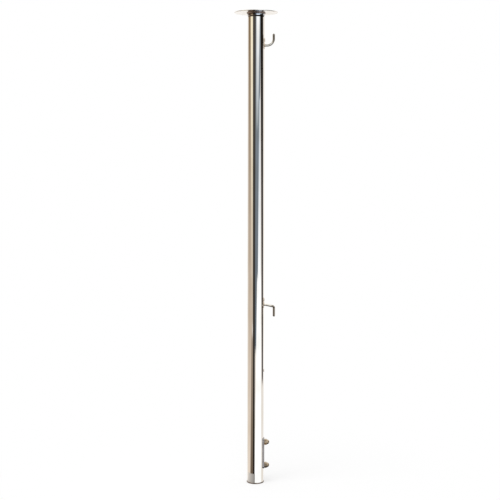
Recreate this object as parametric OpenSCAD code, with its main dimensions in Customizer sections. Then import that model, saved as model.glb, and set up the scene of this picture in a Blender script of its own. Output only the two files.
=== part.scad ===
// Polished stainless flagstaff for a boat's stern: a tube with a round cap disc, two line hooks
// and two side studs with cap nuts. Millimetres, +Z up. The origin is the centre of the foot's
// flat underside, and the hooks, the rivets and the studs all stand on the +X side.

/* [Pole tube] */
// Outer diameter of the tube
tube_d = 25.4; // [20:0.1:32]
// Wall thickness of the tube
tube_wall = 1.5; // [1.2:0.1:2.5]
// Height of the tube's top edge above the foot's underside
tube_top = 712.3; // [560:0.1:1000]

/* [Foot plug] */
// How far the plug's lip stands out past the tube
lip_overhang = 0.7; // [0.4:0.1:3]
// Thickness of the lip
lip_h = 1.7; // [1.4:0.1:4]
// Radius of the lip's rounded edge
lip_edge_r = 0.5; // [0.2:0.1:0.6]
// Length of the spigot inside the tube
foot_spigot_h = 14; // [6:1:16]
// Chamfer on the end of each spigot
spigot_chamfer = 1; // [0.5:0.1:2]

/* [Cap] */
// Diameter of the cap disc
disc_d = 65; // [50:1:80]
// Thickness of the cap disc
disc_t = 1.2; // [1:0.1:4]
// Radius of the disc's rounded rim
disc_edge_r = 0.4; // [0.2:0.05:0.45]
// Height of the collar between the tube and the disc
collar_h = 5.2; // [4.2:0.1:10]
// Depth of the chamfer that makes the V seam between the tube and the collar
seam_chamfer = 1.1; // [0.2:0.1:1.2]
// Length of the collar's spigot inside the tube
cap_spigot_h = 14; // [6:1:20]
// Leg of the weld bead under the disc
cap_weld_leg = 2.2; // [0.6:0.1:3]

/* [Hooks] */
// Diameter of the hook rod
rod_d = 3.5; // [2.5:0.1:4.5]
// Height of each saddle plate
plate_h = 16; // [15:0.5:20]
// Width of each saddle plate, straight across
plate_w = 12; // [9:0.5:15]
// Sheet thickness of each saddle plate
plate_t = 0.4; // [0.3:0.1:2]
// Height of each saddle plate's centre above its hook's arm
plate_lift = 2.8; // [2:0.1:4]
// Corner radius of each saddle plate
plate_corner_r = 2.5; // [1:0.1:4]
// Leg of the weld bead around each rod
rod_weld_leg = 1; // [0.5:0.1:1.5]

/* [Upper hook] */
// Height of the upper hook's arm
upper_z = 669.8; // [480:0.1:690]
// Distance from the tube to the centreline of the upright
upper_reach = 13.7; // [11:0.1:20]
// Centreline radius of the main bend
upper_bend_r = 9.8; // [3:0.1:10]
// Length of the straight upright, up to its round tip
upper_straight = 5.9; // [5:0.1:20]
// How far the upright leans in towards the tube, in degrees
upper_lean = 0; // [0:0.5:10]

/* [Lower hook] */
// Height of the lower hook's arm where it leaves the tube
lower_z = 278.7; // [200:0.1:460]
// Distance from the tube to the centreline of the leg
lower_reach = 15.3; // [9:0.1:24]
// Slope of the arm below the level, in degrees
lower_slope = 12; // [0:1:25]
// Centreline radius of the bend
lower_bend_r = 2.8; // [2.5:0.1:6]
// Distance from the arm's root down to the tip
lower_drop = 18.9; // [14:0.1:30]

/* [Rivets] */
// Shank diameter of the plate rivets
rivet_d = 3.2; // [2.4:0.1:4]
// Head diameter of the plate rivets
rivet_head_d = 5; // [4:0.1:5.2]
// Head height of the plate rivets
rivet_head_h = 0.4; // [0.3:0.1:1.5]
// Height of each plate's rivet above its hook's arm
rivet_rise = 7.2; // [5.8:0.1:8]
// How far each rivet's closed end stands inside the tube
rivet_tail_h = 2.6; // [1.5:0.1:4]
// How much wider the closed end is than the shank
rivet_tail_flare = 1.2; // [0.6:0.1:2]
// Height of the single rivet on the tube
side_rivet_z = 176; // [90:1:230]
// Shank diameter of the single rivet
side_rivet_d = 3.2; // [2.4:0.1:4]
// Head diameter of the single rivet
side_rivet_head_d = 5; // [4.4:0.1:9]
// Head height of the single rivet
side_rivet_head_h = 0.6; // [0.4:0.1:2]

/* [Stud fixing] */
// Height halfway between the two studs
stud_mid_z = 45; // [42:0.1:80]
// Height of the backing strip
strip_h = 48; // [46:1:80]
// How far the strip's middle stands above the middle of the two studs
strip_shift = 1; // [0:0.1:2]
// Width of the backing strip
strip_w = 12; // [11:0.5:16]
// Thickness of the strip where it crosses the middle of the tube
strip_t = 1.1; // [1:0.1:4]
// Corner radius of the strip
strip_corner_r = 3; // [1:0.1:5]
// Thread diameter of the studs
stud_d = 5; // [4:0.5:5.5]
// Distance between the two studs
stud_pitch = 36.5; // [20:0.5:37]
// Length of each stud beyond the strip's face
stud_reach = 5.4; // [3:0.1:6]
// Chamfer on the ends of the studs
stud_chamfer = 0.6; // [0.3:0.1:1]
// Diameter of the threaded boss inside the tube
boss_d = 10; // [8.5:0.5:12]
// Height of the threaded boss inside the tube
boss_h = 4; // [3:0.5:6]
// Width across the flats of the cap nuts
nut_flats = 8; // [8:0.5:11]
// Height of the nuts' hexagon
nut_hex_h = 4; // [2.5:0.1:5]
// Height of a whole cap nut
nut_h = 7.8; // [7.2:0.1:14]
// Diameter of the nuts' dome
nut_dome_d = 7.4; // [7:0.1:7.6]
// How far each nut has been turned past the point where two of its corners line up with the strip
nut_turn = 20; // [0:1:59]

/* [Hidden] */
$fn = 64;
tube_r = tube_d / 2;
bore_r = tube_r - tube_wall;
rod_r = rod_d / 2;
plate_r = tube_r + plate_t;
strip_face = tube_r + strip_t;
tube_bottom = lip_h;
disc_bottom = tube_top + collar_h;
boss_face = bore_r - boss_h;
arm_zs = [lower_z, upper_z];
strip_z = stud_mid_z + strip_shift;
stud_zs = [stud_mid_z - stud_pitch / 2, stud_mid_z + stud_pitch / 2];
cut_margin = 1;
// The hexagon's radius at its corners
hex_r = nut_flats / 2 / cos(30);
nut_bevel = 30;
nut_face_inset = 0.15;
// Height of the step at the outer edge of each rod's weld bead
rod_weld_toe = 0.15;
// Straight rim under each rivet's dome
rivet_rim_h = 0.15;
// The ball where a bend meets a leaning stretch is this much fatter than the rod
kink_swell = 0.01;
// How deep the nut's own blind hole runs past the end of the stud
thread_relief = 0.4;
// The lower hook's arm runs straight down its slope, then bends into the upright leg
lower_bend_turn = 90 - lower_slope;
lower_arm_run = lower_reach - lower_bend_r * (1 - sin(lower_slope));
lower_bend_start_z = lower_z - lower_arm_run * tan(lower_slope);
lower_leg_top_z = lower_bend_start_z - lower_bend_r * cos(lower_slope);
lower_tip_z = lower_z - lower_drop;

// ---- shared shapes -------------------------------------------------------------------------

// Lays a shape that stands on z = 0 along +X, with its foot at x and height z
module along_x(x, z) {
    translate([x, 0, z]) rotate([0, 90, 0]) children();
}

// A cylinder along +X from x = from to x = to, at height z
module bar_x(r, from, to, z) {
    along_x(from, z) cylinder(r = r, h = to - from);
}

// A cylinder with both end edges chamfered, standing on z = 0
module chamfered_bar(r, h, chamfer) {
    rotate_extrude()
        polygon([[0, 0], [r - chamfer, 0], [r, chamfer], [r, h - chamfer], [r - chamfer, h], [0, h]]);
}

// A disc with a rounded rim, standing on z = 0
module rounded_disc(r, h, edge_r) {
    rotate_extrude() {
        square([r - edge_r, h]);
        translate([0, edge_r]) square([r, h - 2 * edge_r]);
        translate([r - edge_r, edge_r]) circle(r = edge_r);
        translate([r - edge_r, h - edge_r]) circle(r = edge_r);
    }
}

// A rectangle with round corners, centred
module rounded_rectangle(w, h, corner_r) {
    square([w - 2 * corner_r, h], center = true);
    square([w, h - 2 * corner_r], center = true);
    for (sx = [-1, 1])
        for (sy = [-1, 1])
            translate([sx * (w / 2 - corner_r), sy * (h / 2 - corner_r)]) circle(r = corner_r);
}

// A plate with round corners that faces +X, from x = from to x = to, w wide in Y and h high in Z
module upright_plate(w, h, corner_r, from, to, z) {
    translate([from, 0, z]) rotate([90, 0, 90]) linear_extrude(to - from)
        rounded_rectangle(w, h, corner_r);
}

// Half the outline of a low dome of radius r and height h on a rim of height rim_h
module dome_outline(r, h, rim_h) {
    rise = h - rim_h;
    arc_r = (r * r + rise * rise) / (2 * rise);
    intersection() {
        translate([0, h - arc_r]) circle(r = arc_r);
        square([r, h]);
    }
}

// ---- tube and its ends ---------------------------------------------------------------------

module pole_tube() {
    color("silver") difference() {
        translate([0, 0, tube_bottom]) cylinder(r = tube_r, h = tube_top - tube_bottom);
        translate([0, 0, tube_bottom - cut_margin])
            cylinder(r = bore_r, h = tube_top - tube_bottom + 2 * cut_margin);
        seam_cut();
        for (z = arm_zs) bar_x(rivet_d / 2, 0, tube_r + cut_margin, z + rivet_rise);
        bar_x(side_rivet_d / 2, 0, tube_r + cut_margin, side_rivet_z);
        for (z = stud_zs) bar_x(stud_d / 2, 0, tube_r + cut_margin, z);
    }
}

// The V seam, cut half from the tube and half from the collar
module seam_cut() {
    translate([0, 0, tube_top]) rotate_extrude()
        polygon([[tube_r - seam_chamfer, 0], [tube_r + cut_margin, -seam_chamfer - cut_margin],
                 [tube_r + cut_margin, seam_chamfer + cut_margin]]);
}

// A spigot that fills the bore, with its end chamfered; it hangs or stands from z
module spigot(z, h, direction) {
    translate([0, 0, z]) mirror([0, 0, direction < 0 ? 1 : 0]) rotate_extrude()
        polygon([[0, 0], [bore_r, 0], [bore_r, h - spigot_chamfer], [bore_r - spigot_chamfer, h], [0, h]]);
}

module foot_plug() {
    color("gainsboro") {
        rounded_disc(tube_r + lip_overhang, lip_h, lip_edge_r);
        spigot(lip_h, foot_spigot_h, 1);
    }
}

module cap_collar() {
    color("silver") {
        difference() {
            translate([0, 0, tube_top]) cylinder(r = tube_r, h = collar_h);
            seam_cut();
        }
        spigot(tube_top, cap_spigot_h, -1);
    }
}

module cap_disc() {
    color("whitesmoke") translate([0, 0, disc_bottom])
        rounded_disc(disc_d / 2, disc_t, disc_edge_r);
}

// A concave bead in the corner between the collar and the disc
module cap_weld() {
    color("tan") translate([0, 0, disc_bottom - cap_weld_leg]) rotate_extrude()
        translate([tube_r, 0]) difference() {
            square(cap_weld_leg);
            translate([cap_weld_leg, 0]) circle(r = cap_weld_leg);
        }
}

// ---- hooks ---------------------------------------------------------------------------------

// A bend in the XZ plane that starts at the origin along +X and turns up through the angle turn
module rod_bend(bend_r, turn) {
    translate([0, 0, bend_r]) rotate([90, 0, 0]) rotate([0, 0, -90])
        rotate_extrude(angle = turn) translate([bend_r, 0]) circle(r = rod_r);
}

module upper_hook() {
    bend_x = tube_r + upper_reach - upper_bend_r;
    color("tan") {
        difference() {
            bar_x(rod_r, 0, bend_x, upper_z);
            cylinder(r = tube_r, h = disc_bottom);
        }
        translate([bend_x, 0, upper_z]) rod_bend(upper_bend_r, 90 + upper_lean);
        translate([bend_x, 0, upper_z + upper_bend_r]) rotate([0, -upper_lean, 0])
            translate([upper_bend_r, 0, 0]) {
                sphere(r = rod_r + kink_swell);
                cylinder(r = rod_r, h = upper_straight);
                translate([0, 0, upper_straight]) sphere(r = rod_r);
            }
    }
}

module lower_hook() {
    leg_h = lower_leg_top_z - lower_tip_z - rod_r;
    arm_l = lower_arm_run / cos(lower_slope);
    color("tan") {
        difference() {
            translate([tube_r, 0, lower_z]) rotate([0, lower_slope, 0]) bar_x(rod_r, -tube_r, arm_l, 0);
            cylinder(r = tube_r, h = tube_top);
        }
        translate([tube_r + lower_arm_run, 0, lower_bend_start_z]) sphere(r = rod_r + kink_swell);
        translate([tube_r + lower_reach, 0, lower_leg_top_z]) {
            rotate([0, -90, 0]) rod_bend(lower_bend_r, lower_bend_turn);
            mirror([0, 0, 1]) cylinder(r = rod_r, h = leg_h);
            translate([0, 0, -leg_h]) sphere(r = rod_r);
        }
    }
}

// A saddle plate that hugs the tube around a hook's arm, with a hole for its rivet
module saddle_plate(arm_z) {
    z = arm_z + plate_lift;
    difference() {
        intersection() {
            translate([0, 0, z - plate_h / 2]) cylinder(r = plate_r, h = plate_h);
            upright_plate(plate_w, plate_h, plate_corner_r, 0, plate_r + cut_margin, z);
        }
        translate([0, 0, z - plate_h / 2 - cut_margin]) cylinder(r = tube_r, h = plate_h + 2 * cut_margin);
        bar_x(rivet_d / 2, 0, plate_r + cut_margin, arm_z + rivet_rise);
    }
}

module upper_plate() {
    color("silver") difference() {
        saddle_plate(upper_z);
        bar_x(rod_r, 0, plate_r + cut_margin, upper_z);
    }
}

module lower_plate() {
    color("silver") difference() {
        saddle_plate(lower_z);
        translate([tube_r, 0, lower_z]) rotate([0, lower_slope, 0])
            bar_x(rod_r, -tube_r, plate_t + 2 * cut_margin, 0);
    }
}

// A sloping bead around a rod where it leaves its plate; the rod leans down by slope degrees
module rod_weld(z, slope) {
    bead_r = rod_r + rod_weld_leg;
    bead_toe = plate_t + rod_weld_toe;
    difference() {
        translate([tube_r, 0, z]) rotate([0, slope, 0]) rotate([0, 90, 0]) rotate_extrude($fn = 160)
            polygon([[rod_r, -plate_t], [bead_r, -plate_t], [bead_r, bead_toe],
                     [rod_r, bead_toe + rod_weld_leg]]);
        translate([0, 0, z - plate_h / 2]) cylinder(r = plate_r, h = plate_h, $fn = 160);
    }
}

module upper_hook_weld() {
    color("darkkhaki") rod_weld(upper_z, 0);
}

module lower_hook_weld() {
    color("darkkhaki") rod_weld(lower_z, lower_slope);
}

// ---- rivets --------------------------------------------------------------------------------

// A blind rivet along +X: domed head on the crest of radius seat_r, shank, closed end that
// bears on the inside of the wall
module blind_rivet(shank_d, head_d, head_h, seat_r, z) {
    shank_r = shank_d / 2;
    tail_r = shank_r + rivet_tail_flare / 2;
    tail_face = sqrt(bore_r * bore_r - tail_r * tail_r);
    shank_l = seat_r - tail_face + rivet_tail_h;
    along_x(tail_face - rivet_tail_h, z) rotate_extrude() {
        square([tail_r, rivet_tail_h]);
        square([shank_r, shank_l + head_h / 2]);
        translate([0, shank_l]) dome_outline(head_d / 2, head_h, rivet_rim_h);
    }
}

module plate_rivet(arm_z) {
    color("gainsboro") blind_rivet(rivet_d, rivet_head_d, rivet_head_h, plate_r, arm_z + rivet_rise);
}

module side_rivet() {
    color("gainsboro")
        blind_rivet(side_rivet_d, side_rivet_head_d, side_rivet_head_h, tube_r, side_rivet_z);
}

// ---- stud fixing ---------------------------------------------------------------------------

// The strip is hollowed to sit on the tube, and its outer face is flat for the nuts
module backing_strip() {
    color("gray") difference() {
        upright_plate(strip_w, strip_h, strip_corner_r, 0, strip_face, strip_z);
        cylinder(r = tube_r, h = tube_top);
        for (z = stud_zs) bar_x(stud_d / 2, 0, strip_face + cut_margin, z);
    }
}

module stud(z) {
    stud_l = strip_face + stud_reach - boss_face;
    color("silver") translate([boss_face, 0, z]) rotate([0, 90, 0])
        chamfered_bar(stud_d / 2, stud_l, stud_chamfer);
}

// A round boss welded inside the wall, which the stud screws into
module stud_boss(z) {
    color("gray") difference() {
        intersection() {
            bar_x(boss_d / 2, boss_face, tube_r, z);
            translate([0, 0, z - boss_d]) cylinder(r = bore_r, h = 2 * boss_d);
        }
        bar_x(stud_d / 2, boss_face - cut_margin, tube_r + cut_margin, z);
    }
}

// A low hexagon cap nut on the strip's face, with a blind hole for the stud
module cap_nut(z) {
    dome_r = nut_dome_d / 2;
    hole_h = stud_reach + thread_relief;
    color("tan") along_x(strip_face, z) difference() {
        union() {
            intersection() {
                rotate([0, 0, -nut_turn]) cylinder(r = hex_r, h = nut_hex_h, $fn = 6);
                hex_bevel();
            }
            rotate_extrude() intersection() {
                union() {
                    square([dome_r, nut_h - dome_r]);
                    translate([0, nut_h - dome_r]) circle(r = dome_r);
                }
                translate([0, nut_hex_h / 2]) square([dome_r + cut_margin, nut_h]);
            }
        }
        translate([0, 0, -cut_margin]) cylinder(r = stud_d / 2, h = hole_h + cut_margin);
    }
}

// The round bevel that trims the hexagon's corners at both ends
module hex_bevel() {
    face_r = nut_flats / 2 - nut_face_inset;
    outer_r = hex_r + cut_margin;
    rise = (outer_r - face_r) * tan(nut_bevel);
    rotate_extrude()
        polygon([[0, 0], [face_r, 0], [outer_r, rise], [outer_r, nut_hex_h - rise], [face_r, nut_hex_h],
                 [0, nut_hex_h]]);
}

pole_tube();
foot_plug();
cap_collar();
cap_disc();
cap_weld();
upper_hook();
upper_plate();
upper_hook_weld();
plate_rivet(upper_z);  // upper_rivet
lower_hook();
lower_plate();
lower_hook_weld();
plate_rivet(lower_z);  // lower_rivet
side_rivet();
backing_strip();
stud(stud_zs[0]);  // stud_lower
stud(stud_zs[1]);  // stud_upper
stud_boss(stud_zs[0]);  // boss_lower
stud_boss(stud_zs[1]);  // boss_upper
cap_nut(stud_zs[0]);  // cap_nut_lower
cap_nut(stud_zs[1]);  // cap_nut_upper
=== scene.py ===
# A polished stainless flagstaff from a boat's stern, in a small product studio.
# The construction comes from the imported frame. This script gives every piece its finish, lays
# rippled weld beads and blind rivets where the frame has plain ones, and sets up the studio.
import math

import bmesh
import bpy
import numpy as np
from mathutils import Matrix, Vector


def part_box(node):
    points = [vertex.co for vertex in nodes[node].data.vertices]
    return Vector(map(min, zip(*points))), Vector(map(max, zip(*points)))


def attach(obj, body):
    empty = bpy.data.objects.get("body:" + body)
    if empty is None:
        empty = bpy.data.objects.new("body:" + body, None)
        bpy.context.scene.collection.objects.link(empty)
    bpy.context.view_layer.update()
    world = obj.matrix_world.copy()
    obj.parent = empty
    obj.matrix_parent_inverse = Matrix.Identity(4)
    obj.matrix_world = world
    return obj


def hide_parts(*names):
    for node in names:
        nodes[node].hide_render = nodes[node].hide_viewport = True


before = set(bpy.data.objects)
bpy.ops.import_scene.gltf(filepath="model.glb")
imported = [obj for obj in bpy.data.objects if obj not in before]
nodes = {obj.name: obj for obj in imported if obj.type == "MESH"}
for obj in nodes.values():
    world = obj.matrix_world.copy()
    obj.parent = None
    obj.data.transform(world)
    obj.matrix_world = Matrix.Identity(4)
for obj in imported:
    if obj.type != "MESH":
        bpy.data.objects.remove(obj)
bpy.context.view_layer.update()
scene = bpy.context.scene
mm = 0.001


def boxOf(node):
    # lowest and highest corner of a node, as two arrays
    low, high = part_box(node)
    return np.array(low), np.array(high)


def linear(hexColour):
    # sRGB hex, such as "d8d4cf", to the linear colour that Blender works in
    c = np.array([int(hexColour[i:i + 2], 16) for i in (0, 2, 4)]) / 255
    return np.where(c <= 0.04045, c / 12.92, ((c + 0.055) / 1.055) ** 2.4)


tubeR = boxOf("pole_tube")[1][1]
tubeTop = boxOf("pole_tube")[1][2]

# The camera stands a little below the disc, tipped slightly down, with a long lens.
cameraPlan = {
    "distance": 1.597,      # from the pole's axis
    "height": 0.5189,
    "aside": -0.0087,       # stands slightly left, so that the pole is right of the middle
    "tiltDown": 5.6,        # degrees
    "roll": 0.08,           # degrees
    "lens": 75.8,
}


def makeCamera(plan):
    data = bpy.data.cameras.new("camera")
    data.sensor_width = 36
    data.lens = plan["lens"]
    camera = bpy.data.objects.new("camera", data)
    camera.location = (plan["aside"], -plan["distance"], plan["height"])
    turn = (Matrix.Rotation(math.radians(90 - plan["tiltDown"]), 3, "X")
            @ Matrix.Rotation(math.radians(plan["roll"]), 3, "Z"))
    camera.rotation_euler = turn.to_euler()
    scene.collection.objects.link(camera)
    scene.camera = camera


makeCamera(cameraPlan)
print("camera is set")


def gridMesh(name, points, closeU=False, closeV=False):
    # points[i, j] is a grid of places; rows and columns may close on themselves
    rows, cols = points.shape[:2]
    i = np.arange(rows if closeU else rows - 1)[:, None]
    j = np.arange(cols if closeV else cols - 1)[None, :]
    i2, j2 = (i + 1) % rows, (j + 1) % cols
    quads = np.stack([i * cols + j, i * cols + j2, i2 * cols + j2, i2 * cols + j], -1).reshape(-1, 4)
    mesh = bpy.data.meshes.new(name)
    mesh.from_pydata(points.reshape(-1, 3), [], quads)
    mesh.shade_smooth()
    mesh.update()
    thing = bpy.data.objects.new(name, mesh)
    scene.collection.objects.link(thing)
    return thing


def add(tree, kind, settings=None, links=None):
    # a node with its settings (by attribute or input name) and its input links
    node = tree.nodes.new(kind)
    for key, value in (settings or {}).items():
        if isinstance(key, str) and hasattr(node, key):
            setattr(node, key, value)
        else:
            node.inputs[key].default_value = value
    for key, source in (links or {}).items():
        tree.links.new(source, node.inputs[key])
    return node


def newMaterial(name):
    material = bpy.data.materials.new(name)
    material.use_nodes = True
    material.node_tree.nodes.clear()
    return material, material.node_tree


# Real polished 316 stainless reflects about two thirds of the light, a shade warmer than grey.
steelHex = "d6d1cc"
shownHex = "d2ccc7"     # what is left of a white screen in the tube, clouds and haze included

# Each finish lists its slot, its clean and stained colour, the size of its clouds in mm along x,
# y and z, its roughness from its cleanest to its haziest patch, the spacing of its polishing or
# forming lines in mm, how deep they are in mm, and how dark its pits are.
finishes = {
    # buffed tube: a sharp mirror with hardly visible rings left by the polishing mops
    "mirrorPolishedTube": {
        "slot": "polished_tube", "clean": steelHex, "stain": "cec7be", "clouds": (14, 14, 45),
        "rough": (0.015, 0.05), "lines": (30, 30, 0.4), "lineDepth": 0.0005, "pits": 0},
    # plate turned and brushed round and round: satin, so its reflections are soft
    "brushedPlate": {
        "slot": "polished_disc", "clean": "d8d3ce", "stain": "cbc3b9", "clouds": (18, 18, 18),
        "rough": (0.14, 0.24), "lines": (0.6, 9, 9), "lineDepth": 0.0008, "pits": 0.25},
    # bar end faced in the lathe: fine rings that soften the mirror, tea-brown where water stood
    "turnedBar": {
        "slot": "turned_plug", "clean": "8d7f75", "stain": "5e4f45", "clouds": (4, 4, 3),
        "rough": (0.14, 0.26), "lines": (8, 8, 0.3), "lineDepth": 0.002, "pits": 0.3},
    # arc weld bead brushed bright: satin and warm, with darker stain left in its ripples
    "brushedWeld": {
        "slot": "weld_bead", "clean": "d9cbba", "stain": "9d8a76", "clouds": (1.4, 1.4, 1.4),
        "rough": (0.18, 0.34), "lines": (0.6, 0.6, 0.6), "lineDepth": 0.006, "pits": 0.5},
    # the cap's bead, left as it cooled: dull brown heat tint that softens what it mirrors
    "heatTintedWeld": {
        "slot": "weld_bead", "clean": "ab998b", "stain": "7d6c6c", "clouds": (2.2, 2.2, 2.2),
        "rough": (0.36, 0.55), "lines": (0.6, 0.6, 0.6), "lineDepth": 0.006, "pits": 0.5},
    # drawn rod, bent cold and tumbled: glossy, browner than the tube, with fine draw lines
    "drawnRod": {
        "slot": "bent_wire", "clean": "e6dfd5", "stain": "b5a99b", "clouds": (4, 4, 4),
        "rough": (0.03, 0.08), "lines": (1.2, 0.4, 6), "lineDepth": 0.0012, "pits": 0.5},
    # thin sheet pressed to the tube's curve and polished after, so it has a soft haze
    "pressedSheet": {
        "slot": "pressed_sheet", "clean": "d4c7b8", "stain": "b7a491", "clouds": (4, 4, 6),
        "rough": (0.2, 0.34), "lines": (10, 0.4, 10), "lineDepth": 0.0012, "pits": 0.4},
    # blind rivet head, formed in a die: smooth, with a tea-coloured stain
    "formedRivet": {
        "slot": "rivet_steel", "clean": "c2aa90", "stain": "92704f", "clouds": (1.6, 1.6, 1.6),
        "rough": (0.16, 0.28), "lines": (1, 0.5, 0.5), "lineDepth": 0.0015, "pits": 0.5},
    # flat bar as rolled and linished lengthwise: satin, with long straight scratches
    "linishedBar": {
        "slot": "strip_steel", "clean": "9a9492", "stain": "857c76", "clouds": (4, 4, 16),
        "rough": (0.18, 0.3), "lines": (0.3, 0.3, 14), "lineDepth": 0.003, "pits": 0.5},
    # rolled thread stock: plain and bright, with rings as fine as its thread
    "rolledStud": {
        "slot": "stud_steel", "clean": "c6c1bb", "stain": "a09890", "clouds": (3, 3, 3),
        "rough": (0.14, 0.26), "lines": (0.35, 5, 5), "lineDepth": 0.004, "pits": 0.4},
    # cap nut, turned and tumbled: warm and glossy, with faint rings round the dome
    "tumbledNut": {
        "slot": "nut_steel", "clean": "ab977e", "stain": "6a523b", "clouds": (2.5, 2.5, 2.5),
        "rough": (0.04, 0.1), "lines": (0.4, 4, 4), "lineDepth": 0.0015, "pits": 0.5},
}

# The hooks are painted darker as shade where they turn away from the pole, fading in between the given
# distances in mm from its axis, while their arms are still bright.
hookOuterShade = {"colour": "82776a", "from": 22.5, "to": 25.5}

# The V seam is painted nearly black and dull as shade, deepest on the hooks' side and paler on the side
# away from them. Above it the weld has tinted the collar, straw brown on that side and blue-grey on the
# hooks' side; that split across the collar is painted reflection, a dark one and a bluish highlight.
# Distances in mm from the seam.
collarShadeAndTint = {
    "seamShadePale": "a3988c", "seamShade": "2c2622", "seamRough": 0.55, "seamShadeFrom": 0.95, "seamShadeTo": 1.15,
    "brown": "64554a", "blue": "a9aeb6", "tintFrom": 1.1, "tintTo": 1.5,
    "sideFrom": -4, "sideTo": 1,    # across the collar, from its brown side to its blue side
}


def perMetre(sizes):
    # pattern sizes in mm to the scale of a Mapping node
    return tuple(1 / (size * mm) for size in sizes)


def paint(hexColour):
    return (*linear(hexColour), 1)


def steelMaterial(name, look):
    # cloudy stain, polishing lines that roughen and bump the surface, and scattered fine pits
    material, tree = newMaterial(name)
    place = add(tree, "ShaderNodeTexCoord").outputs["Object"]
    cloudPlace = add(tree, "ShaderNodeMapping", {"Scale": perMetre(look["clouds"])}, {"Vector": place})
    clouds = add(tree, "ShaderNodeTexNoise", {"Scale": 1, "Detail": 4, "Roughness": 0.55},
                 {"Vector": cloudPlace.outputs[0]}).outputs[0]
    linePlace = add(tree, "ShaderNodeMapping", {"Scale": perMetre(look["lines"])}, {"Vector": place})
    lines = add(tree, "ShaderNodeTexNoise", {"Scale": 1, "Detail": 3, "Roughness": 0.6},
                {"Vector": linePlace.outputs[0]}).outputs[0]
    stained = add(tree, "ShaderNodeMapRange", {"From Min": 0.42, "From Max": 0.72}, {"Value": clouds})
    colour = add(tree, "ShaderNodeMix", {"data_type": "RGBA", 6: paint(look["clean"]),
                                         7: paint(look["stain"])}, {0: stained.outputs[0]}).outputs[2]
    haze = add(tree, "ShaderNodeMath", {"operation": "ADD"}, {0: clouds, 1: lines})
    rough = add(tree, "ShaderNodeMapRange", {"From Min": 0.7, "From Max": 1.3,
                                             "To Min": look["rough"][0], "To Max": look["rough"][1]},
                {"Value": haze.outputs[0]}).outputs[0]
    if look["pits"]:
        spots = add(tree, "ShaderNodeTexVoronoi", {"Scale": 1 / (3 * mm)}, {"Vector": place})
        pitted = add(tree, "ShaderNodeMapRange", {"From Min": 0.03, "From Max": 0.1,
                                                  "To Min": look["pits"], "To Max": 0},
                     {"Value": spots.outputs["Distance"]})
        colour = add(tree, "ShaderNodeMix", {"data_type": "RGBA", 7: paint(look["stain"])},
                     {0: pitted.outputs[0], 6: colour}).outputs[2]
    if look["slot"] == "polished_tube":
        colour, rough = shadeAndTintCollar(tree, place, colour, rough)
    # painted shade: the hooks darken with distance from the pole's axis, over the given span
    if look["slot"] == "bent_wire":
        out = add(tree, "ShaderNodeSeparateXYZ", links={0: place}).outputs["X"]
        outerShadeMask = add(tree, "ShaderNodeMapRange", {"From Min": hookOuterShade["from"] * mm,
                                                  "From Max": hookOuterShade["to"] * mm}, {"Value": out})
        colour = add(tree, "ShaderNodeMix", {"data_type": "RGBA", 7: paint(hookOuterShade["colour"])},
                     {0: outerShadeMask.outputs[0], 6: colour}).outputs[2]
    bump = add(tree, "ShaderNodeBump", {"Strength": 1, "Distance": look["lineDepth"] * mm},
               {"Height": lines})
    shader = add(tree, "ShaderNodeBsdfPrincipled", {"Metallic": 1},
                 {"Base Color": colour, "Roughness": rough, "Normal": bump.outputs[0]})
    add(tree, "ShaderNodeOutputMaterial", links={"Surface": shader.outputs[0]})
    return material


def shadeAndTintCollar(tree, place, colour, rough):
    # painted shade fills the seam's depth, and the heat tint, split by side as painted reflection, starts
    # above it and deepens to the weld
    look = collarShadeAndTint
    axes = add(tree, "ShaderNodeSeparateXYZ", links={0: place}).outputs
    above = add(tree, "ShaderNodeMath", {"operation": "SUBTRACT", 1: tubeTop}, {0: axes["Z"]}).outputs[0]
    off = add(tree, "ShaderNodeMath", {"operation": "ABSOLUTE"}, {0: above}).outputs[0]
    # painted shade: a dark, dull band along the V seam
    seamShade = add(tree, "ShaderNodeMapRange", {"From Min": look["seamShadeFrom"] * mm,
                                             "From Max": look["seamShadeTo"] * mm, "To Min": 1, "To Max": 0},
                {"Value": off}).outputs[0]
    heat = add(tree, "ShaderNodeMapRange", {"From Min": look["tintFrom"] * mm,
                                            "From Max": look["tintTo"] * mm}, {"Value": above}).outputs[0]
    # painted reflection and shade: the collar's tint and the seam's shade change across the collar towards
    # the hooks
    towardHooks = add(tree, "ShaderNodeMapRange", {"From Min": look["sideFrom"] * mm,
                                               "From Max": look["sideTo"] * mm},
                  {"Value": axes["X"]}).outputs[0]
    tint = add(tree, "ShaderNodeMix", {"data_type": "RGBA", 6: paint(look["brown"]),
                                       7: paint(look["blue"])}, {0: towardHooks}).outputs[2]
    colour = add(tree, "ShaderNodeMix", {"data_type": "RGBA"}, {0: heat, 6: colour, 7: tint}).outputs[2]
    seamShadeColour = add(tree, "ShaderNodeMix", {"data_type": "RGBA", 6: paint(look["seamShadePale"]),
                                          7: paint(look["seamShade"])}, {0: towardHooks}).outputs[2]
    colour = add(tree, "ShaderNodeMix", {"data_type": "RGBA"}, {0: seamShade, 6: colour, 7: seamShadeColour}).outputs[2]
    rough = add(tree, "ShaderNodeMix", {3: look["seamRough"]}, {0: seamShade, 2: rough}).outputs[0]
    return colour, rough


steels = {name: steelMaterial(name, look) for name, look in finishes.items()}
for name, look in finishes.items():
    for node in nodes.values():
        for slot in node.material_slots:
            if slot.material and slot.material.name.split(".")[0] == look["slot"]:
                slot.material = steels[name]
print("finishes are on:", len(steels))

# thick is the bead's radius in mm, and farHalf flattens the half that lies inside thin sheet
beadPlan = {
    "capWeldBead": {"replaces": "cap_weld", "steel": "heatTintedWeld", "thick": 1.45, "ripples": 48,
                    "rippleDepth": 0.08, "farHalf": 0.5},
    "upperHookBead": {"replaces": "upper_hook_weld", "steel": "brushedWeld", "thick": 0.65,
                      "ripples": 19, "rippleDepth": 0.12, "farHalf": 1.0},
    "lowerHookBead": {"replaces": "lower_hook_weld", "steel": "brushedWeld", "thick": 0.65,
                      "ripples": 19, "rippleDepth": 0.12, "farHalf": 1.0},
}


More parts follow.
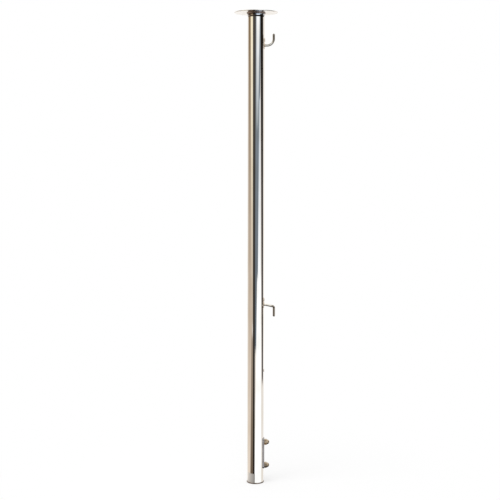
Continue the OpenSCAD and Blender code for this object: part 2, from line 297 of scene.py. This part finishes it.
def weldBead(name, plan, path, across, out):
    # A round bead carried along a closed path. Its radius swells and dips once a ripple, and each
    # ripple is bent into a crescent, because the pool cools from its edges:
    # place = path + radius * (1 + depth * |sin(ripples * t / 2 + bend)|) * (cos f * across + sin f * out)
    # The half towards out is flattened by farHalf, so that it doesn't come through a thin sheet.
    steps, sides, bend = len(path), 20, 0.9
    t = np.linspace(0, 2 * np.pi, steps, endpoint=False)[:, None]
    f = -np.linspace(0, 2 * np.pi, sides, endpoint=False)[None, :]     # this way round, faces point out
    crescent = bend * np.cos(f - np.pi / 4) ** 2
    ripple = np.abs(np.sin(plan["ripples"] * t / 2 + crescent))
    radius = plan["thick"] * mm * (1 - plan["rippleDepth"] + plan["rippleDepth"] * ripple)
    reach = np.where(np.sin(f) > 0, plan["farHalf"], 1.0) * np.sin(f)
    points = (path[:, None] + (radius * np.cos(f))[..., None] * across[:, None]
              + (radius * reach)[..., None] * out[:, None])
    bead = gridMesh(name, points, closeU=True, closeV=True)
    bead.data.materials.append(steels[plan["steel"]])
    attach(bead, "root")
    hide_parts(plan["replaces"])


def capBead():
    # lies in the corner between the collar and the disc
    plan = beadPlan["capWeldBead"]
    t = np.linspace(0, 2 * np.pi, plan["ripples"] * 10, endpoint=False)
    radial = np.stack([np.cos(t), np.sin(t), 0 * t], -1)
    up = np.tile([0.0, 0.0, 1.0], (len(t), 1))
    corner = boxOf("cap_disc")[0][2]
    path = radial * (tubeR + 0.05 * mm) + up * (corner - 0.05 * mm)
    weldBead("capWeldBead", plan, path, radial, up)


def hookBead(name, hookPlateNode, rodR):
    # runs round the rod on the plate's curved face
    plan = beadPlan[name]
    low, high = boxOf(plan["replaces"])
    plateR = boxOf(hookPlateNode)[1][0]
    centreZ = (low[2] + high[2]) / 2
    t = np.linspace(0, 2 * np.pi, plan["ripples"] * 12, endpoint=False)
    ring = rodR + 0.2 * mm
    y, z = ring * np.cos(t), ring * np.sin(t)
    path = np.stack([np.sqrt(plateR ** 2 - y ** 2), y, centreZ + z], -1)
    across = np.stack([0 * t, np.cos(t), np.sin(t)], -1)
    out = np.tile([1.0, 0.0, 0.0], (len(t), 1))
    weldBead(name, plan, path, across, out)


rodRadius = 1.75 * mm
capBead()
hookBead("upperHookBead", "upper_plate", rodRadius)
hookBead("lowerHookBead", "lower_plate", rodRadius)
print("weld beads are laid")

# sizes in mm; the mandrel is the hole that the pulling pin leaves in the head
rivetPlan = {
    "plate": {"nodes": ("upper_rivet", "lower_rivet"),
              "shank": 1.6, "tail": 2.2, "tailLength": 2.6, "headHeight": 0.4, "mandrel": 0.85},
    "side": {"nodes": ("side_rivet",),
             "shank": 1.6, "tail": 2.2, "tailLength": 2.6, "headHeight": 0.6, "mandrel": 0.85},
}


def blindRivet(node, plan):
    # An outline of (distance along the axis, radius) points turned round the +X axis:
    # place = (along, radius * cos t, z + radius * sin t). The head is a low dome with the hole
    # of the pulling pin in its middle, and the broken pin shows inside it.
    low, high = boxOf(node)
    centreZ = (low[2] + high[2]) / 2
    headR = high[1] / mm
    crest, back = high[0] / mm, low[0] / mm
    seat = crest - plan["headHeight"]
    rim = 0.15
    domeAngle = np.linspace(0, 1, 12)
    holeR = plan["mandrel"]
    domeR = headR + (holeR + 0.15 - headR) * domeAngle
    domeX = seat + rim + (plan["headHeight"] - rim) * np.sin(domeAngle * np.pi / 2) ** 0.8
    outline = [(back, 0), (back, plan["tail"] - 0.3), (back + 0.3, plan["tail"]),
               (back + plan["tailLength"], plan["tail"]), (back + plan["tailLength"], plan["shank"]),
               (seat, plan["shank"]), (seat, headR)]
    outline += list(zip(domeX, domeR))
    outline += [(crest - 0.06, holeR), (crest - 0.55, holeR - 0.05), (crest - 0.55, holeR - 0.18),
                (crest - 0.34, holeR - 0.22), (crest - 0.26, holeR - 0.4), (crest - 0.3, 0)]
    along, radius = np.array(outline).T * mm
    t = np.linspace(0, 2 * np.pi, 48, endpoint=False)[:, None]
    points = np.stack([along + 0 * t, radius * np.cos(t), centreZ + radius * np.sin(t)], -1)
    rivet = gridMesh(node + "_formed", points, closeU=True)
    closePoles(rivet)
    rivet.data.set_sharp_from_angle(angle=math.radians(35))
    rivet.data.materials.append(steels["formedRivet"])
    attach(rivet, "root")
    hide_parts(node)


def closePoles(thing):
    # merges the points that meet on the axis and turns every face outwards
    work = bmesh.new()
    work.from_mesh(thing.data)
    bmesh.ops.remove_doubles(work, verts=work.verts, dist=0.001 * mm)
    bmesh.ops.recalc_face_normals(work, faces=work.faces)
    work.to_mesh(thing.data)
    work.free()


for plan in rivetPlan.values():
    for node in plan["nodes"]:
        blindRivet(node, plan)
print("rivets are set")


# metres from the foot over which the paper turns white, and how white it already is near the foot
floorPlan = {"halfSize": 6.0, "shadowFrom": 0.03, "shadowTo": 0.4, "nearGlow": 0.6}


def makeFloor():
    # pale paper that keeps the object's shadow near the foot and turns plain white further off
    size = floorPlan["halfSize"]
    corners = np.array([[[-size, -size, 0], [size, -size, 0]], [[-size, size, 0], [size, size, 0]]])
    floor = gridMesh("floor", corners)
    material, tree = newMaterial("paperFloor")
    place = add(tree, "ShaderNodeTexCoord").outputs["Object"]
    away = add(tree, "ShaderNodeVectorMath", {"operation": "LENGTH"}, {0: place})
    far = add(tree, "ShaderNodeMapRange", {
        "interpolation_type": "SMOOTHSTEP", "From Min": floorPlan["shadowFrom"],
        "From Max": floorPlan["shadowTo"], "To Min": floorPlan["nearGlow"]},
              {"Value": away.outputs["Value"]})
    paper = add(tree, "ShaderNodeBsdfDiffuse", {"Color": (1, 1, 1, 1)})
    glow = add(tree, "ShaderNodeEmission", {"Strength": 1})
    both = add(tree, "ShaderNodeMixShader", links={0: far.outputs[0], 1: paper.outputs[0],
                                                   2: glow.outputs[0]})
    add(tree, "ShaderNodeOutputMaterial", links={"Surface": both.outputs[0]})
    floor.data.materials.append(material)
    floor.visible_glossy = False


def makeWorld():
    # plain soft light on everything, and a white background for what looks past the object
    world = bpy.data.worlds.new("studio")
    world.use_nodes = True
    scene.world = world
    tree = world.node_tree
    tree.nodes.clear()
    ray = add(tree, "ShaderNodeLightPath")
    seen = add(tree, "ShaderNodeMath", {"operation": "MAXIMUM"},
               {0: ray.outputs["Is Camera Ray"], 1: ray.outputs["Is Glossy Ray"]})
    seen = add(tree, "ShaderNodeMath", {"operation": "MAXIMUM"},
               {0: seen.outputs[0], 1: ray.outputs["Is Transmission Ray"]})
    soft = add(tree, "ShaderNodeBackground", {"Color": (1, 1, 1, 1), "Strength": 0.75})
    white = add(tree, "ShaderNodeBackground", {"Color": (1, 1, 1, 1), "Strength": 1})
    both = add(tree, "ShaderNodeMixShader", links={0: seen.outputs[0], 1: soft.outputs[0],
                                                   2: white.outputs[0]})
    add(tree, "ShaderNodeOutputWorld", links={"Surface": both.outputs[0]})


lampPlan = {"size": (1.2, 0.8), "watts": 16, "place": (-0.5, -0.5, 2.2), "lean": 18}


def makeLamp():
    data = bpy.data.lights.new("softbox", "AREA")
    data.shape = "RECTANGLE"
    data.size, data.size_y = lampPlan["size"]
    data.energy = lampPlan["watts"]
    lamp = bpy.data.objects.new("softbox", data)
    lamp.location = lampPlan["place"]
    lamp.rotation_euler = Matrix.Rotation(math.radians(lampPlan["lean"]), 3, "X").to_euler()
    lamp.visible_glossy = False     # the metal mirrors the cards and the ceiling instead
    scene.collection.objects.link(lamp)


# Plain cards as a product studio stands them round polished tube. Each has straight edges and one
# colour at its upper end fading to one at its lower end. Heights are mm up the pole, where it
# mirrors the card's ends; left and right are degrees round from the front, and soft is how many
# degrees each edge is smoothed over. Later cards hang in front of earlier ones.
wallRadius = 3.0
screens = {
    "tan side card": {"soft": (14, 6), "heights": (720, 0),
        "left": (-125, -125), "right": (-50, -50), "colours": ("806a50", "e0d0c0")},
    "cream card": {"soft": (8, 8), "heights": (720, 240),
        "left": (-80, -60), "right": (-45, -30), "colours": ("f8ecd0", "c0b0a0")},
    "brown card": {"soft": (7, 10), "heights": (240, 0),
        "left": (-60, -75), "right": (-25, -25), "colours": ("a09080", "605040")},
    "grey card": {"soft": (10, 8), "heights": (720, 200),
        "left": (-20, -20), "right": (70, 30), "colours": ("808890", "606870")},
    "upper light panel": {"soft": (16, 9), "heights": (720, 540),
        "left": (5, 5), "right": (50, 30), "colours": ("ffffff", "909aa0")},
    "tall light panel": {"soft": (8, 8), "heights": (600, 300),
        "left": (45, 30), "right": (60, 75), "colours": ("c0c8d0", "ffffff")},
    "low light panel": {"soft": (8, 7), "heights": (330, 0),
        "left": (20, -10), "right": (80, 95), "colours": ("ffffff", "ffffff")},
    "black card left": {"soft": (9, 7), "heights": (720, 0),
        "left": (-45, -35), "right": (-5, -10), "colours": ("484440", "201c18")},
    "black card right": {"soft": (4, 5), "heights": (720, 150),
        "left": (60, 100), "right": (110, 130), "colours": ("181410", "302828")},
}
# what the metal mirrors far above and far below: a pale ceiling with a light in its middle, and
# a dark brown deck
shellEnds = {
    "ceiling": "f2f0ec", "ceilingCover": 0.9, "ceilingFade": 0.25, "domeHeight": 1.7,
    "light": "fbf6ee", "lightRadius": 1.1, "lightFade": 0.3,
    "deck": "2e2621", "deckCover": 0.93, "deckFade": 0.22, "bowlDepth": 1.0,
    "between": "e0d8d0",    # the bare wall between the cards
}


def mirroredHeight(poleHeight):
    # where the camera's ray meets the wall after it glances off the pole at this height
    slope = (poleHeight * mm - cameraPlan["height"]) / cameraPlan["distance"]
    return poleHeight * mm + wallRadius * slope


def easeInOut(x):
    x = np.clip(x, 0, 1)
    return x * x * (3 - 2 * x)


def paintScreens(z, a):
    # Each card is mixed over the last by how far inside its edges a point lies, smoothed over
    # its soft width. z is a column of wall heights and a is a row of degrees.
    shade = np.ones((z.size, a.size, 3)) * linear(shellEnds["between"])
    edge = 0.05     # metres over which a card's upper or lower end is smoothed
    for screen in screens.values():
        heights = np.array([mirroredHeight(h) for h in screen["heights"]])[::-1]
        left, right = [np.interp(z, heights, screen[side][::-1]) for side in ("left", "right")]
        softLeft, softRight = screen["soft"]
        cover = (easeInOut((a - left) / softLeft + 0.5) * easeInOut((right - a) / softRight + 0.5))
        if screen["heights"][-1] > 0:
            cover = cover * easeInOut((z - heights[0]) / edge)
        if screen["heights"][0] < tubeTop / mm:
            cover = cover * easeInOut((heights[-1] - z) / edge)
        colours = np.array([linear(c) for c in screen["colours"]])[::-1]
        colour = np.stack([np.interp(z, heights, colours[:, k]) for k in range(3)], -1)
        shade = shade + cover[..., None] * (colour - shade)
    return shade


def glowOnly(thing, name, colours):
    # a lit surface that shows only in the metal; colours are as the polished steel shows them
    light = thing.data.attributes.new("light", "FLOAT_COLOR", "POINT")
    values = np.concatenate([colours / linear(shownHex), np.ones((*colours.shape[:2], 1))], -1)
    light.data.foreach_set("color", values.astype(np.float32).ravel())
    material, tree = newMaterial(name)
    colour = add(tree, "ShaderNodeAttribute", {"attribute_name": "light"})
    glow = add(tree, "ShaderNodeEmission", {"Strength": 1}, {"Color": colour.outputs["Color"]})
    add(tree, "ShaderNodeOutputMaterial", links={"Surface": glow.outputs[0]})
    thing.data.materials.append(material)
    for kind in ("camera", "diffuse", "transmission", "volume_scatter", "shadow"):
        setattr(thing, "visible_" + kind, False)


def makeShell():
    # A closed shell of revolution: place = (r * sin a, -r * cos a, z), where r and z follow a
    # straight wall with a quarter ellipse below it (the deck) and one above it (the ceiling).
    low, high = mirroredHeight(-20), mirroredHeight(740)    # just past both ends of the pole
    f = np.radians(np.linspace(88, 4, 20))
    wall = np.linspace(low, high, 170)
    r = wallRadius * np.concatenate([np.cos(f), np.ones(wall.size), np.cos(f[::-1])])
    z = np.concatenate([low - shellEnds["bowlDepth"] * np.sin(f), wall,
                        high + shellEnds["domeHeight"] * np.sin(f[::-1])])
    a = np.linspace(-180, 180, 361)[None, :]
    shade = paintScreens(np.clip(z, low, high)[:, None], a)
    down = easeInOut((low - z) / (shellEnds["deckFade"] * shellEnds["bowlDepth"]))[:, None, None]
    up = easeInOut((z - high) / (shellEnds["ceilingFade"] * shellEnds["domeHeight"]))[:, None, None]
    overhead = easeInOut((shellEnds["lightRadius"] - r) / shellEnds["lightFade"])[:, None, None]
    shade = shade + shellEnds["deckCover"] * down * (linear(shellEnds["deck"]) - shade)
    shade = shade + shellEnds["ceilingCover"] * up * (linear(shellEnds["ceiling"]) - shade)
    shade = shade + overhead * (z > high)[:, None, None] * (linear(shellEnds["light"]) - shade)
    turn = np.radians(a)
    points = np.stack([r[:, None] * np.sin(turn), -r[:, None] * np.cos(turn), z[:, None] + 0 * turn], -1)
    glowOnly(gridMesh("screenShell", points), "litScreens", shade)


# the pale edge of the deck that shows in the dark stripe just above the foot
matPlan = {"azimuths": (-105, -5), "inner": 13.4, "outer": 62, "colours": ("d0c8c0", "888480")}


def makeMat():
    # a flat fan round the foot: place = (r * sin a, -r * cos a, height), r from inner to outer
    a = np.linspace(matPlan["azimuths"][0], matPlan["azimuths"][-1], 60)
    r = np.array([[matPlan["inner"], matPlan["outer"]]]) * mm + 0 * a[:, None]
    turn = np.radians(a)[:, None]
    points = np.stack([r * np.sin(turn), -r * np.cos(turn), 0.2 * mm + 0 * r], -1)
    colours = np.array([linear(c) for c in matPlan["colours"]])
    colour = np.stack([np.interp(a, matPlan["azimuths"], colours[:, k]) for k in range(3)], -1)
    glowOnly(gridMesh("deckEdge", points), "litDeckEdge", np.repeat(colour[:, None], 2, 1))


makeFloor()
makeWorld()
makeLamp()
makeShell()
makeMat()
scene.view_settings.view_transform = "Standard"
print("studio is lit")
